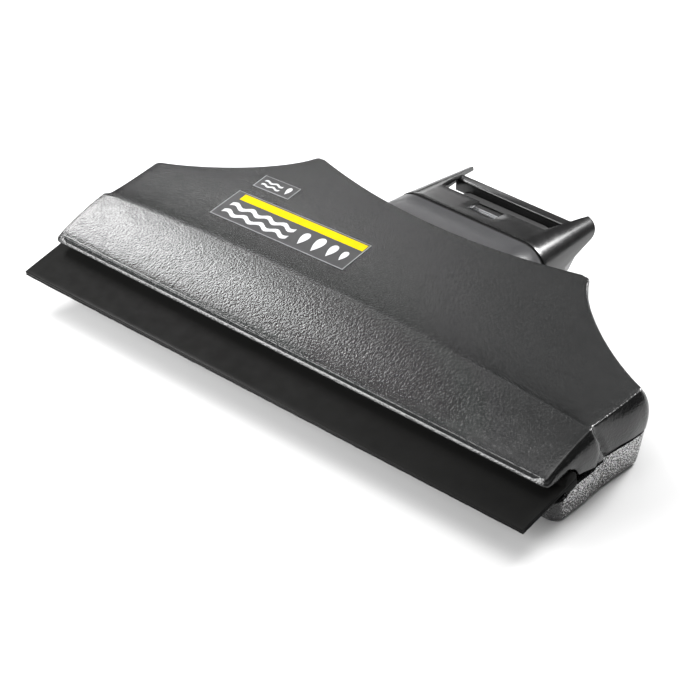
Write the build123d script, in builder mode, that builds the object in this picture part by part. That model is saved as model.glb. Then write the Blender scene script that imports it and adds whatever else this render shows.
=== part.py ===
"""Wide suction head of a handheld window and surface cleaner.

X runs along the rubber lips, Y from the lip tips back to the connector, Z up.
The origin is on the floor, under the middle of the head.  All sizes are in mm.
"""
from build123d import *
import math
import os

os.makedirs("parts", exist_ok=True)

# ------------------------------------------------------------ driving dimensions
LIP_LENGTH = 280.0        # both rubber lips, along X
DEPTH = 186.4             # lip tips to the ends of the connector arms
WALL = 2.0                # shell wall
SEAM_BOTTOM = 17.8        # top of the lower shell
SEAM_TOP = 19.0           # bottom edge of the upper cover
FIT = 0.1                 # clearance between fixed neighbours

# depths, measured back from the lip tips
NOSE = 17.4
SHELL_FRONT = 27.0
CREST_END = 46.5          # crest of the nose band, at the ends and in the middle
CREST_MIDDLE = 53.8
SHOULDER = 81.9
REAR_CORNER = 127.6
REAR_MIDDLE = 115.6
BULGE_MIDDLES = (38.0, 66.0)            # where the two bulges of an end wall are fullest
GROOVE_BACK, GROOVE_DEPTH = 1.5, 1.5    # the groove between them, behind the crest
FLANK = (106.8, 96.0)                   # half width and depth in the middle of a flank
SLEEVE_FRONT = 108.0
SLEEVE_END = 141.0
COLLAR_FRONT = 142.4
PLATE_END = 158.6         # rear edge of the collar's top plate
CROSSBAR = 177.0
SPIGOT_FRONT = 106.0
SPIGOT_END = 170.0

# half widths
END_HALF = 136.3
NOSE_HALF = 137.0
END_BULGE = 1.9           # the end walls stand out by this much between their grooves
REAR_HALF = 76.7
NECK_HALF = 43.0
ARM_HALF = 39.0
JAW_TOP_HALF, JAW_BOTTOM_HALF = 36.0, 31.0
SPIGOT_HALF = 29.0

# heights
LIP_BOTTOM, LIP_TOP = 25.2, 28.2
NOSE_RISE = 0.27          # slope of the nose band
CROWN = 2.6               # the panel is this much higher on the centre line than at its ends
COVER_TOP = 45.0          # above every point of the cover
NECK_BOTTOM = 3.0
SLEEVE_TOP_FRONT, SLEEVE_TOP_END = 38.2, 35.0
ARM_TOP = 28.9
ARM_CUT = 19.5            # the arms are open below this height
SPIGOT_BOTTOM, SPIGOT_TOP = 6.0, 26.0
NOSE_CROWN = 0.6
MOUTH_TOP = 11.0          # top of the lower shell's low front wall
NECK_RADIUS, ARM_RADIUS, SPIGOT_RADIUS = 13.0, 8.0, 8.5

# rubber lips, in their own tilted plane
LIP_TILT = math.radians(10.8)
LIP_MID = 15.5            # height of the middle of the pair, at the tips
LIP_TRIM = 0.22           # brings the tilted upper tip to depth zero
LIP_GAP = 0.2
LIP_THICKNESS = 1.1
BEAD_START, BEAD_END, BEAD_TOP, BEAD_RADIUS = 28.2, 35.0, 4.0, 1.8
BEAD_PLAY = 0.4
SLOT_TOP = 1.7            # half height of the slit that the lips come out of
PAD_PITCH, PAD_LENGTH, PAD_WIDTH, PAD_HEIGHT = 16.5, 9.5, 3.4, 0.6
RAIL_START, RAIL_END = 26.3, 38.8
ARCH_START, ARCH_END, SEAM_START = 30.0, 38.5, 47.0    # the cover's end walls rise over the bead

# seam and air path
DRAFT = 3.4               # the lower shell is this much smaller at its base
SEAL_EDGE, SEAL_WIDTH = 0.8, 1.4
RIB_WIDTH = 2.0
RAIL_RIBS = (-90.0, -45.0, 0.0, 45.0, 90.0)
GUIDE_RIBS = (-96.0, -32.0, 32.0, 96.0)
GUIDE_START, GUIDE_END, GUIDE_TAPER = 53.0, 96.0, 0.45
PLATE_HEIGHT, PLATE_THICKNESS = 9.0, 1.5
SPIGOT_WALL = 1.8
FLANGE_DEPTH, FLANGE_THICKNESS, GASKET_THICKNESS = 118.0, 2.5, 1.5
SPOUT_SEAL_DEPTH, SPOUT_SEAL_WIDTH, SPOUT_SEAL_HEIGHT = 165.0, 2.4, 0.8

# collar
WINDOW_FRONT_HALF, WINDOW_END_HALF = 29.2, 33.2
NOTCH_HALF, NOTCH_DEPTH = 7.75, 9.6
RING_END_HEIGHT = 14.0
BAR_BOTTOM, BAR_HEIGHT, BAR_THICKNESS = 21.0, 8.2, 2.6
JAW_FRONT, JAW_LENGTH, JAW_TOP = 150.0, 25.0, 14.5
TONGUE_FRONT, TONGUE_LENGTH, TONGUE_WIDTH, TONGUE_THICKNESS = 127.0, 18.0, 60.0, 1.0
KEEPER_DEPTH, KEEPER_LENGTH, KEEPER_WIDTH, KEEPER_THICKNESS = 155.2, 24.0, 3.2, 1.6

# fasteners
SCREW_RADIUS, HEAD_RADIUS, HEAD_HEIGHT = 1.5, 2.9, 2.0
RECESS_LENGTH, RECESS_WIDTH, RECESS_DEPTH = 3.6, 0.8, 0.9
BOSS_RADIUS = 4.0
COUNTERBORE = 4.0
SCREW_END = 26.0


def at(depth):
    """Y of a point this far back from the lip tips."""
    return depth - DEPTH / 2


def across(depth, height=0.0):
    """Upright plane facing the front, with its origin on the centre line."""
    return Plane(origin=(0, at(depth), height), x_dir=(1, 0, 0), z_dir=(0, -1, 0))


SHELL_SCREWS = [(side * x, at(depth)) for side in (-1, 1) for x, depth in ((118, 68), (62, 100), (44, 60))]
COLLAR_SCREWS = [(side * 24.0, at(131.0)) for side in (-1, 1)]
SIDE_PLANE = Plane.YZ.offset(-LIP_LENGTH / 2)
LIP_PLANE = Plane(
    origin=(-LIP_LENGTH / 2, at(LIP_TRIM), LIP_MID),
    x_dir=(0, math.cos(LIP_TILT), math.sin(LIP_TILT)),
    z_dir=(1, 0, 0),
)


# ------------------------------------------------------------ shared outlines
SHOULDER_TANGENT, CORNER_TANGENT = (-0.93, 0.36), (-0.36, 0.93)
# how far each outline point moves inwards and forwards for an inset of 1 mm
SHOULDER_INSET, FLANK_INSET, CORNER_INSET = (1.0, 0.7), (0.5, 0.85), (0.6, 1.24)


def inset_point(half, depth, inset, shares):
    """Point of the plan, moved into the head by an inset."""
    return (half - shares[0] * inset, at(depth) - shares[1] * inset)


def head_plan(front, inset=0.0, stand_out=END_BULGE):
    """Plan of the head: bulged ends, concave flanks, hollow rear edge."""
    nose = (NOSE_HALF - inset, at(front) + inset)
    groove = (END_HALF - GROOVE_DEPTH - inset, at(CREST_END + GROOVE_BACK))
    bulge = END_HALF + stand_out - inset
    shoulder = inset_point(END_HALF, SHOULDER, inset, SHOULDER_INSET)
    flank = inset_point(*FLANK, inset, FLANK_INSET)
    corner = inset_point(REAR_HALF, REAR_CORNER, inset, CORNER_INSET)
    with BuildSketch() as plan:
        with BuildLine():
            Line((0, at(front) + inset), nose)
            ThreePointArc(nose, (bulge, at(BULGE_MIDDLES[0])), groove)
            ThreePointArc(groove, (bulge, at(BULGE_MIDDLES[1])), shoulder)
            Spline(shoulder, flank, corner, tangents=(SHOULDER_TANGENT, CORNER_TANGENT))
            mirror(about=Plane.YZ)
            ThreePointArc(corner, (0, at(REAR_MIDDLE) - inset), (-corner[0], corner[1]))
        make_face()
    return plan.sketch


def rounded_box(half_width, bottom, top, radius, inset=0.0):
    """Upright rounded rectangle, drawn with Z as its second axis."""
    with BuildSketch() as shape:
        with Locations((0, (bottom + top) / 2)):
            RectangleRounded(2 * (half_width - inset), top - bottom - 2 * inset, radius - inset)
    return shape.sketch


NOSE_LIP = 6.5            # thickness of the nose behind its rolled lip
NOSE_BACK = 60.0          # the nose block ends here, hidden under the panel


def nose_line(depth, drop):
    """Point on the straight slope of the nose band."""
    return (at(depth), LIP_TOP + NOSE_RISE * (depth - NOSE) - drop)


def nose_section(front, drop=0.0):
    """Side view of the nose band, from its rolled lip to behind the crest."""
    lip = nose_line(front, drop)
    back = nose_line(NOSE_BACK, drop)
    middle = nose_line((front + NOSE_BACK) / 2, drop - NOSE_CROWN)
    with BuildSketch() as section:
        with BuildLine():
            ThreePointArc(lip, middle, back)
            Polyline(back, (back[0], SEAM_TOP), (lip[0], SEAM_TOP), lip)
        make_face()
    return section.sketch


def crest_front(inset=0.0):
    """Plan of everything in front of the crest, which bows back in the middle."""
    half = LIP_LENGTH / 2
    crest_y = at(CREST_END - inset)
    with BuildSketch() as area:
        with BuildLine():
            ThreePointArc((-half, crest_y), (0, at(CREST_MIDDLE - inset)), (half, crest_y))
            Polyline((half, crest_y), (half, at(0)), (-half, at(0)), (-half, crest_y))
        make_face()
    return area.sketch


def lip_slot(top, start, end):
    """Side view of the slit and bead channel, in the plane of the lips."""
    with BuildSketch() as slot:
        with Locations(((start + end) / 2, 0)):
            RectangleRounded(end - start, 2 * top, BEAD_RADIUS + BEAD_PLAY)
        with Locations((BEAD_START / 2, 0)):
            Rectangle(BEAD_START, 2 * SLOT_TOP)
    return slot.sketch


# ------------------------------------------------------------ upper cover
PANEL_HEIGHTS = {40.0: 35.2, 60.0: 35.7, 82.0: 37.5, 105.0: 39.6, 131.0: 42.0}    # height at each depth
TOP_BULGE = 0.4           # what is left of the end walls' bulge at the top of the cover
CHANNEL_PLAY, CHANNEL_WALL = 0.9, 1.6    # room for the rails round the bead


def panel_block(drop=0.0):
    """Solid under the crowned panel, lofted through upright sections."""
    half = LIP_LENGTH / 2
    with BuildPart() as block:
        for depth, height in PANEL_HEIGHTS.items():
            low, high = height - drop, height - drop + CROWN
            with BuildSketch(across(depth)):
                with BuildLine():
                    ThreePointArc((-half, low), (0, high), (half, low))
                    Polyline((half, low), (half, SEAM_TOP), (-half, SEAM_TOP), (-half, low))
                make_face()
        loft()
    return block.part


def cover_form(drop=0.0, inset=0.0):
    """Nose band and panel together, trimmed to the plan of the head."""
    with BuildPart() as form:
        with BuildSketch(SIDE_PLANE):
            add(nose_section(NOSE + (NOSE_LIP if drop else 0.0), drop))
        extrude(amount=LIP_LENGTH)
        with BuildSketch(Plane.XY):
            add(crest_front(inset))
        extrude(amount=COVER_TOP, mode=Mode.INTERSECT)
        add(panel_block(drop))
        # the end walls bulge towards the seam and are straight along their top edges
        with BuildSketch(Plane.XY.offset(SEAM_TOP)):
            add(head_plan(NOSE, inset))
        with BuildSketch(Plane.XY.offset(COVER_TOP)):
            add(head_plan(NOSE, inset, TOP_BULGE))
        loft(mode=Mode.INTERSECT)
    return form.part


with BuildPart() as neck_passage:
    with BuildSketch(across(SLEEVE_FRONT - 4)):
        add(rounded_box(NECK_HALF, NECK_BOTTOM, SLEEVE_TOP_FRONT + 0.4, NECK_RADIUS, -FIT))
    with BuildSketch(across(SLEEVE_END)):
        add(rounded_box(NECK_HALF, NECK_BOTTOM, SLEEVE_TOP_END, NECK_RADIUS, -FIT))
    loft()

with BuildPart() as lip_passage:
    with BuildSketch(LIP_PLANE):
        add(lip_slot(BEAD_TOP + CHANNEL_PLAY, BEAD_START - CHANNEL_WALL, BEAD_END + CHANNEL_WALL))
    extrude(amount=LIP_LENGTH)

with BuildPart() as upper_cover:
    add(cover_form())
    add(cover_form(WALL, WALL), mode=Mode.SUBTRACT)
    # the nose overhangs the lips: open underneath, ahead of the seam
    with BuildSketch(SIDE_PLANE):
        with BuildLine():
            Polyline(
                (at(0), 0),
                (at(0), LIP_BOTTOM),
                (at(ARCH_START), LIP_BOTTOM),
                (at(ARCH_END), SEAM_TOP + WALL),
                (at(SEAM_START), SEAM_TOP),
                (at(SEAM_START), 0),
                close=True,
            )
        make_face()
    extrude(amount=LIP_LENGTH, mode=Mode.SUBTRACT)
    add(lip_passage.part, mode=Mode.SUBTRACT)
    add(neck_passage.part, mode=Mode.SUBTRACT)
    for x, y in SHELL_SCREWS:
        with BuildSketch(Plane.XY.offset(SEAM_TOP)):
            with Locations((x, y)):
                Circle(BOSS_RADIUS)
                Circle(SCREW_RADIUS + FIT, mode=Mode.SUBTRACT)
        extrude(until=Until.NEXT)


# ------------------------------------------------------------ lower shell
def lower_form(inset=0.0):
    """Drafted tub under the seam, standing on a flat base."""
    floor = WALL if inset else 0.0
    with BuildPart() as form:
        with BuildSketch(Plane.XY.offset(floor)):
            add(head_plan(SHELL_FRONT, inset + DRAFT * (1 - floor / SEAM_BOTTOM)))
        with BuildSketch(Plane.XY.offset(SEAM_BOTTOM)):
            add(head_plan(SHELL_FRONT, inset))
        loft()
    return form.part


RIB_FRONT, RIB_BACK = 31.0, 40.0
RIB_FRONT_TOP, RIB_BACK_TOP = 13.9, 15.5

with BuildPart() as lower_shell:
    add(lower_form())
    add(lower_form(WALL), mode=Mode.SUBTRACT)
    # the front wall is low, so that air enters under the lower lip
    with BuildSketch(SIDE_PLANE):
        with BuildLine():
            Polyline(
                (at(0), SEAM_TOP),
                (at(0), MOUTH_TOP),
                (at(SHELL_FRONT + 1.5), MOUTH_TOP),
                (at(ARCH_START + 4), MOUTH_TOP + 1.8),
                (at(SEAM_START), SEAM_BOTTOM),
                (at(SEAM_START), SEAM_TOP),
                close=True,
            )
        make_face()
    extrude(amount=LIP_LENGTH, mode=Mode.SUBTRACT)
    add(neck_passage.part, mode=Mode.SUBTRACT)
    # ribs carry the lower rail
    for x in RAIL_RIBS:
        with BuildSketch(Plane.YZ.offset(x - RIB_WIDTH / 2)):
            with BuildLine():
                Polyline(
                    (at(RIB_FRONT), WALL),
                    (at(RIB_FRONT), RIB_FRONT_TOP),
                    (at(RIB_BACK), RIB_BACK_TOP),
                    (at(RIB_BACK), WALL),
                    close=True,
                )
            make_face()
        extrude(amount=RIB_WIDTH)
    for x, y in SHELL_SCREWS:
        with BuildSketch(Plane.XY.offset(WALL)):
            with Locations((x, y)):
                Circle(BOSS_RADIUS)
        extrude(amount=SEAM_TOP - 2 * FIT - WALL)
        with BuildSketch(Plane.XY):
            with Locations((x, y)):
                Circle(HEAD_RADIUS + 3 * FIT)
        extrude(amount=COUNTERBORE, mode=Mode.SUBTRACT)
        with BuildSketch(Plane.XY):
            with Locations((x, y)):
                Circle(SCREW_RADIUS + FIT)
        extrude(amount=SEAM_TOP, mode=Mode.SUBTRACT)

with BuildPart() as seam_gasket:
    with BuildSketch(Plane.XY.offset(SEAM_BOTTOM)):
        add(head_plan(SHELL_FRONT, SEAL_EDGE))
        add(head_plan(SHELL_FRONT, SEAL_EDGE + SEAL_WIDTH), mode=Mode.SUBTRACT)
    extrude(amount=SEAM_TOP - SEAM_BOTTOM)
    # no gasket ahead of the closed part of the seam
    with BuildSketch(SIDE_PLANE):
        with Locations((at(SEAM_START / 2), SEAM_TOP)):
            Rectangle(SEAM_START + 2, SEAM_TOP)
    extrude(amount=LIP_LENGTH, mode=Mode.SUBTRACT)
    add(neck_passage.part, mode=Mode.SUBTRACT)


# ------------------------------------------------------------ lips and their rails
def lip_section(side):
    """Blade and bead of one lip; side is 1 for the upper lip, -1 for the lower."""
    inner = side * LIP_GAP / 2
    with BuildSketch() as section:
        with BuildLine():
            Polyline(
                (0, inner),
                (0, inner + side * LIP_THICKNESS),
                (BEAD_START, inner + side * LIP_THICKNESS),
                (BEAD_START, side * (BEAD_TOP - BEAD_RADIUS)),
            )
            RadiusArc(
                (BEAD_START, side * (BEAD_TOP - BEAD_RADIUS)),
                (BEAD_START + BEAD_RADIUS, side * BEAD_TOP),
                side * BEAD_RADIUS,
            )
            Line((BEAD_START + BEAD_RADIUS, side * BEAD_TOP), (BEAD_END - BEAD_RADIUS, side * BEAD_TOP))
            RadiusArc(
                (BEAD_END - BEAD_RADIUS, side * BEAD_TOP),
                (BEAD_END, side * (BEAD_TOP - BEAD_RADIUS)),
                side * BEAD_RADIUS,
            )
            Polyline((BEAD_END, side * (BEAD_TOP - BEAD_RADIUS)), (BEAD_END, inner), (0, inner))
        make_face()
    return section.sketch


with BuildPart() as upper_wiper_lip:
    with BuildSketch(LIP_PLANE):
        add(lip_section(1))
    extrude(amount=LIP_LENGTH)

PAD_COUNT = int(LIP_LENGTH // PAD_PITCH)
FIRST_PAD = (LIP_LENGTH - (PAD_COUNT - 1) * PAD_PITCH) / 2

with BuildPart() as lower_wiper_lip:
    with BuildSketch(LIP_PLANE):
        add(lip_section(-1))
    extrude(amount=LIP_LENGTH)
    for number in range(PAD_COUNT):
        start = FIRST_PAD + number * PAD_PITCH - PAD_LENGTH / 2
        with BuildSketch(LIP_PLANE.offset(start)):
            with Locations((PAD_WIDTH / 2, -LIP_GAP / 2 - LIP_THICKNESS - PAD_HEIGHT / 2)):
                Rectangle(PAD_WIDTH, PAD_HEIGHT)
        extrude(amount=PAD_LENGTH)


RAIL_LENGTH = 2 * (END_HALF - 5)
RAIL_PARTING = 0.3        # each rail stops this far from the middle of the pair of lips
RAIL_PLANE = LIP_PLANE.offset((LIP_LENGTH - RAIL_LENGTH) / 2)


def rail_section(side, front_height, back_height):
    """Side view of the channel that holds one bead."""
    with BuildSketch() as section:
        with BuildLine():
            Polyline(
                (RAIL_START, side * RAIL_PARTING),
                (RAIL_START, side * front_height),
                (RAIL_END, side * back_height),
                (RAIL_END, side * RAIL_PARTING),
                close=True,
            )
        make_face()
        add(lip_slot(BEAD_TOP + BEAD_PLAY, BEAD_START - BEAD_PLAY, BEAD_END + BEAD_PLAY), mode=Mode.SUBTRACT)
    return section.sketch


with BuildPart() as upper_lip_rail:
    with BuildSketch(RAIL_PLANE):
        add(rail_section(1, 7.0, 8.6))
    extrude(amount=RAIL_LENGTH)

with BuildPart() as lower_lip_rail:
    with BuildSketch(RAIL_PLANE):
        add(rail_section(-1, 5.8, 6.4))
    extrude(amount=RAIL_LENGTH)


# ------------------------------------------------------------ air path
with BuildPart() as air_channel_plate:
    with BuildSketch(Plane.XY.offset(PLATE_HEIGHT)):
        with BuildLine():
            Polyline((0, at(48)), (124, at(48)), (124, at(74)), (98, at(84)), (66, at(103)), (0, at(103)))
            mirror(about=Plane.YZ)
        make_face()
        for x, y in SHELL_SCREWS:
            with Locations((x, y)):
                Circle(BOSS_RADIUS + BEAD_PLAY, mode=Mode.SUBTRACT)
    extrude(amount=PLATE_THICKNESS)
    # fan of guide ribs from the wide slot towards the neck
    for x in GUIDE_RIBS:
        with BuildSketch(Plane.XY.offset(WALL + FIT)):
            with BuildLine():
                Polyline(
                    (x - RIB_WIDTH / 2, at(GUIDE_START)),
                    (x + RIB_WIDTH / 2, at(GUIDE_START)),
                    (x * GUIDE_TAPER + RIB_WIDTH / 2, at(GUIDE_END)),
                    (x * GUIDE_TAPER - RIB_WIDTH / 2, at(GUIDE_END)),
                    close=True,
                )
            make_face()
        extrude(amount=PLATE_HEIGHT - WALL - FIT)


# ------------------------------------------------------------ neck
def sleeve_top(depth):
    """Height of the sleeve's top at a depth."""
    share = (depth - SLEEVE_FRONT) / (SLEEVE_END - SLEEVE_FRONT)
    return SLEEVE_TOP_FRONT + share * (SLEEVE_TOP_END - SLEEVE_TOP_FRONT)


with BuildPart() as neck_sleeve:
    for inset, mode in ((0.0, Mode.ADD), (WALL, Mode.SUBTRACT)):
        with BuildSketch(across(SLEEVE_FRONT)):
            add(rounded_box(NECK_HALF, NECK_BOTTOM, SLEEVE_TOP_FRONT, NECK_RADIUS, inset))
        with BuildSketch(across(SLEEVE_END)):
            add(rounded_box(NECK_HALF, NECK_BOTTOM, SLEEVE_TOP_END, NECK_RADIUS, inset))
        loft(mode=mode)
    for x, y in COLLAR_SCREWS:
        with BuildSketch(Plane.XY):
            with Locations((x, y)):
                Circle(SCREW_RADIUS + FIT)
        extrude(amount=NECK_BOTTOM + 2 * WALL, mode=Mode.SUBTRACT)

with BuildPart() as neck_seal_ring:
    with BuildSketch(across(SLEEVE_END)):
        add(rounded_box(NECK_HALF, NECK_BOTTOM, SLEEVE_TOP_END, NECK_RADIUS, SEAL_EDGE))
        add(rounded_box(NECK_HALF, NECK_BOTTOM, SLEEVE_TOP_END, NECK_RADIUS, WALL), mode=Mode.SUBTRACT)
    extrude(amount=-(COLLAR_FRONT - SLEEVE_END))

def spigot_ring(inset):
    """Section of the spigot, or of what fits round it."""
    return rounded_box(SPIGOT_HALF, SPIGOT_BOTTOM, SPIGOT_TOP, SPIGOT_RADIUS, inset)


def sleeve_inside(depth):
    """Section that fits inside the sleeve from a depth on."""
    return rounded_box(NECK_HALF, NECK_BOTTOM, sleeve_top(depth), NECK_RADIUS, WALL + FIT)


SPIGOT_LENGTH = SPIGOT_END - SPIGOT_FRONT
FLANGE_BACK = FLANGE_DEPTH + FLANGE_THICKNESS

with BuildPart() as suction_spigot:
    with BuildSketch(across(SPIGOT_FRONT)):
        add(spigot_ring(0.0))
    extrude(amount=-SPIGOT_LENGTH)
    with BuildSketch(across(FLANGE_DEPTH)):
        add(sleeve_inside(FLANGE_BACK))
    extrude(amount=-FLANGE_THICKNESS)
    with BuildSketch(across(SPIGOT_FRONT)):
        add(spigot_ring(SPIGOT_WALL))
    extrude(amount=-SPIGOT_LENGTH, mode=Mode.SUBTRACT)

with BuildPart() as flange_gasket:
    with BuildSketch(across(FLANGE_BACK)):
        add(sleeve_inside(FLANGE_BACK + GASKET_THICKNESS))
        add(spigot_ring(-FIT), mode=Mode.SUBTRACT)
    extrude(amount=-GASKET_THICKNESS)

with BuildPart() as spigot_seal:
    with BuildSketch(across(SPOUT_SEAL_DEPTH)):
        add(spigot_ring(-SPOUT_SEAL_HEIGHT))
        add(spigot_ring(0.0), mode=Mode.SUBTRACT)
    extrude(amount=-SPOUT_SEAL_WIDTH)


# ------------------------------------------------------------ connector collar
PLATE_END_TOP = 32.2      # height of the top plate at its rear edge
PLATE_SLOPE = (SLEEVE_TOP_END - PLATE_END_TOP) / (PLATE_END - COLLAR_FRONT)
ABOVE = 30.0              # cuts from the side of the arms go up past the plate


def collar_form(inset=0.0):
    """Socket that the vacuum's spout enters, narrowing to the arm tips."""
    with BuildPart() as form:
        with BuildSketch(across(COLLAR_FRONT)):
            add(rounded_box(NECK_HALF, NECK_BOTTOM, SLEEVE_TOP_END, NECK_RADIUS, inset))
        with BuildSketch(across(DEPTH)):
            add(rounded_box(ARM_HALF, NECK_BOTTOM, ARM_TOP, ARM_RADIUS, inset))
        loft()
    return form.part


def window_outline():
    """Plan of the gap between the arms, which widens a little to their tips."""
    with BuildSketch() as outline:
        with BuildLine():
            Polyline(
                (-WINDOW_FRONT_HALF, at(PLATE_END)),
                (WINDOW_FRONT_HALF, at(PLATE_END)),
                (WINDOW_END_HALF, at(DEPTH)),
                (-WINDOW_END_HALF, at(DEPTH)),
                close=True,
            )
        make_face()
    return outline.sketch


def arm_underside():
    """Side view of what is cut away under the arms, with their tips rounded below."""
    tip_start, tip_end = (at(DEPTH), 26.5), (at(DEPTH - 7), ARM_CUT)
    with BuildSketch() as outline:
        with BuildLine():
            ThreePointArc(tip_start, (at(DEPTH - 2.2), 22.5), tip_end)
            Polyline(tip_end, (at(PLATE_END), RING_END_HEIGHT), (at(PLATE_END), 0), (at(DEPTH), 0), tip_start)
        make_face()
    return outline.sketch


def jaw_section():
    """Shallow tray under the spout, seen from the front."""
    inner_bottom, inner_top = JAW_BOTTOM_HALF - WALL, JAW_TOP_HALF - WALL
    with BuildSketch() as section:
        with BuildLine():
            Polyline((0, NECK_BOTTOM), (JAW_BOTTOM_HALF, NECK_BOTTOM), (JAW_TOP_HALF, JAW_TOP))
            Polyline((JAW_TOP_HALF, JAW_TOP), (inner_top, JAW_TOP), (inner_bottom, NECK_BOTTOM + WALL))
            Line((inner_bottom, NECK_BOTTOM + WALL), (0, NECK_BOTTOM + WALL))
            mirror(about=Plane.YZ)
        make_face()
    return section.sketch


with BuildPart() as connector_collar:
    add(collar_form())
    add(collar_form(WALL), mode=Mode.SUBTRACT)
    with BuildSketch(Plane.XY.offset(ARM_CUT)):
        add(window_outline())
    extrude(amount=ABOVE, mode=Mode.SUBTRACT)
    with BuildSketch(SIDE_PLANE):
        add(arm_underside())
    extrude(amount=LIP_LENGTH, mode=Mode.SUBTRACT)
    # crossbar between the arms
    with BuildSketch(Plane.XY.offset(BAR_BOTTOM)):
        with Locations((0, at(CROSSBAR) - BAR_THICKNESS / 2)):
            Rectangle(2 * WINDOW_END_HALF, BAR_THICKNESS)
    extrude(amount=BAR_HEIGHT)
    with BuildSketch(across(JAW_FRONT)):
        add(jaw_section())
    extrude(amount=-JAW_LENGTH)
    # latch notch in the rear edge of the plate
    with BuildSketch(Plane.XY.offset(ARM_CUT)):
        with Locations((0, at(PLATE_END - NOTCH_DEPTH / 2))):
            Rectangle(2 * NOTCH_HALF, NOTCH_DEPTH)
    extrude(amount=ABOVE, mode=Mode.SUBTRACT)
    # tongue that reaches into the sleeve for the screws
    with BuildSketch(Plane.XY.offset(NECK_BOTTOM + WALL)):
        with Locations((0, at(TONGUE_FRONT + TONGUE_LENGTH / 2))):
            Rectangle(TONGUE_WIDTH, TONGUE_LENGTH)
        with Locations(*COLLAR_SCREWS):
            Circle(SCREW_RADIUS + FIT, mode=Mode.SUBTRACT)
    extrude(amount=TONGUE_THICKNESS)

KEEPER_TOP = SLEEVE_TOP_END - PLATE_SLOPE * (KEEPER_DEPTH - COLLAR_FRONT) - WALL - 2 * FIT
KEEPER_PLANE = Plane(origin=(0, at(KEEPER_DEPTH), KEEPER_TOP), x_dir=(1, 0, 0), z_dir=(0, PLATE_SLOPE, 1))

with BuildPart() as latch_keeper:
    with BuildSketch(KEEPER_PLANE):
        RectangleRounded(KEEPER_LENGTH, KEEPER_WIDTH, 0.6)
    extrude(amount=-KEEPER_THICKNESS)


# ------------------------------------------------------------ fasteners
def screws(places, head_bottom, tip):
    """Pan-head screws driven up from below, one solid each."""
    with BuildPart() as group:
        with BuildSketch(Plane.XY.offset(head_bottom)):
            with Locations(*places):
                Circle(HEAD_RADIUS)
        extrude(amount=HEAD_HEIGHT)
        with BuildSketch(Plane.XY.offset(head_bottom)):
            with Locations(*places):
                Circle(SCREW_RADIUS)
        extrude(amount=tip - head_bottom)
        with BuildSketch(Plane.XY.offset(head_bottom)):
            with Locations(*places):
                Rectangle(RECESS_LENGTH, RECESS_WIDTH)
                Rectangle(RECESS_WIDTH, RECESS_LENGTH)
        extrude(amount=RECESS_DEPTH, mode=Mode.SUBTRACT)
    return group.part


with BuildPart() as shell_screws:
    add(screws(SHELL_SCREWS, COUNTERBORE - HEAD_HEIGHT, SCREW_END))

with BuildPart() as collar_screws:
    add(screws(COLLAR_SCREWS, NECK_BOTTOM - HEAD_HEIGHT, NECK_BOTTOM + WALL + TONGUE_THICKNESS))


# ------------------------------------------------------------ labels on the panel
FILM = 0.25
LABEL_TURN = 1.8          # the stickers follow the crest line


def label(centre_x, centre_depth, length, width):
    """Thin sticker that follows the panel."""
    with BuildPart() as sticker:
        add(panel_block(-FILM))
        add(panel_block(0.0), mode=Mode.SUBTRACT)
        with BuildSketch(Plane.XY.offset(SEAM_TOP)):
            with Locations(Location((centre_x, at(centre_depth), 0), (0, 0, LABEL_TURN))):
                RectangleRounded(length, width, 0.8)
        extrude(amount=ABOVE, mode=Mode.INTERSECT)
    return sticker.part


with BuildPart() as main_label:
    add(label(-50.5, 77.5, 76.5, 20.5))

with BuildPart() as small_label:
    add(label(-76.5, 97.8, 21.0, 9.6))


# ------------------------------------------------------------ files
upper_cover.part.label = "upper_cover"
export_step(upper_cover.part, "parts/upper_cover.step")

lower_shell.part.label = "lower_shell"
export_step(lower_shell.part, "parts/lower_shell.step")

seam_gasket.part.label = "seam_gasket"
export_step(seam_gasket.part, "parts/seam_gasket.step")

upper_wiper_lip.part.label = "upper_wiper_lip"
export_step(upper_wiper_lip.part, "parts/upper_wiper_lip.step")

lower_wiper_lip.part.label = "lower_wiper_lip"
export_step(lower_wiper_lip.part, "parts/lower_wiper_lip.step")

upper_lip_rail.part.label = "upper_lip_rail"
export_step(upper_lip_rail.part, "parts/upper_lip_rail.step")

lower_lip_rail.part.label = "lower_lip_rail"
export_step(lower_lip_rail.part, "parts/lower_lip_rail.step")

air_channel_plate.part.label = "air_channel_plate"
export_step(air_channel_plate.part, "parts/air_channel_plate.step")

neck_sleeve.part.label = "neck_sleeve"
export_step(neck_sleeve.part, "parts/neck_sleeve.step")

neck_seal_ring.part.label = "neck_seal_ring"
export_step(neck_seal_ring.part, "parts/neck_seal_ring.step")

suction_spigot.part.label = "suction_spigot"
export_step(suction_spigot.part, "parts/suction_spigot.step")

flange_gasket.part.label = "flange_gasket"
export_step(flange_gasket.part, "parts/flange_gasket.step")

spigot_seal.part.label = "spigot_seal"
export_step(spigot_seal.part, "parts/spigot_seal.step")

connector_collar.part.label = "connector_collar"
export_step(connector_collar.part, "parts/connector_collar.step")

latch_keeper.part.label = "latch_keeper"
export_step(latch_keeper.part, "parts/latch_keeper.step")

shell_screws.part.label = "shell_screws"
export_step(shell_screws.part, "parts/shell_screws.step")

collar_screws.part.label = "collar_screws"
export_step(collar_screws.part, "parts/collar_screws.step")

main_label.part.label = "main_label"
export_step(main_label.part, "parts/main_label.step")

small_label.part.label = "small_label"
export_step(small_label.part, "parts/small_label.step")
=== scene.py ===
"""Looks of the suction head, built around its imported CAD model.

The row frame is in metres: X along the rubber lips, Y back to the connector, Z up.
Depths are measured back from the lip tips, and all local sizes are in millimetres.
"""
import math

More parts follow.
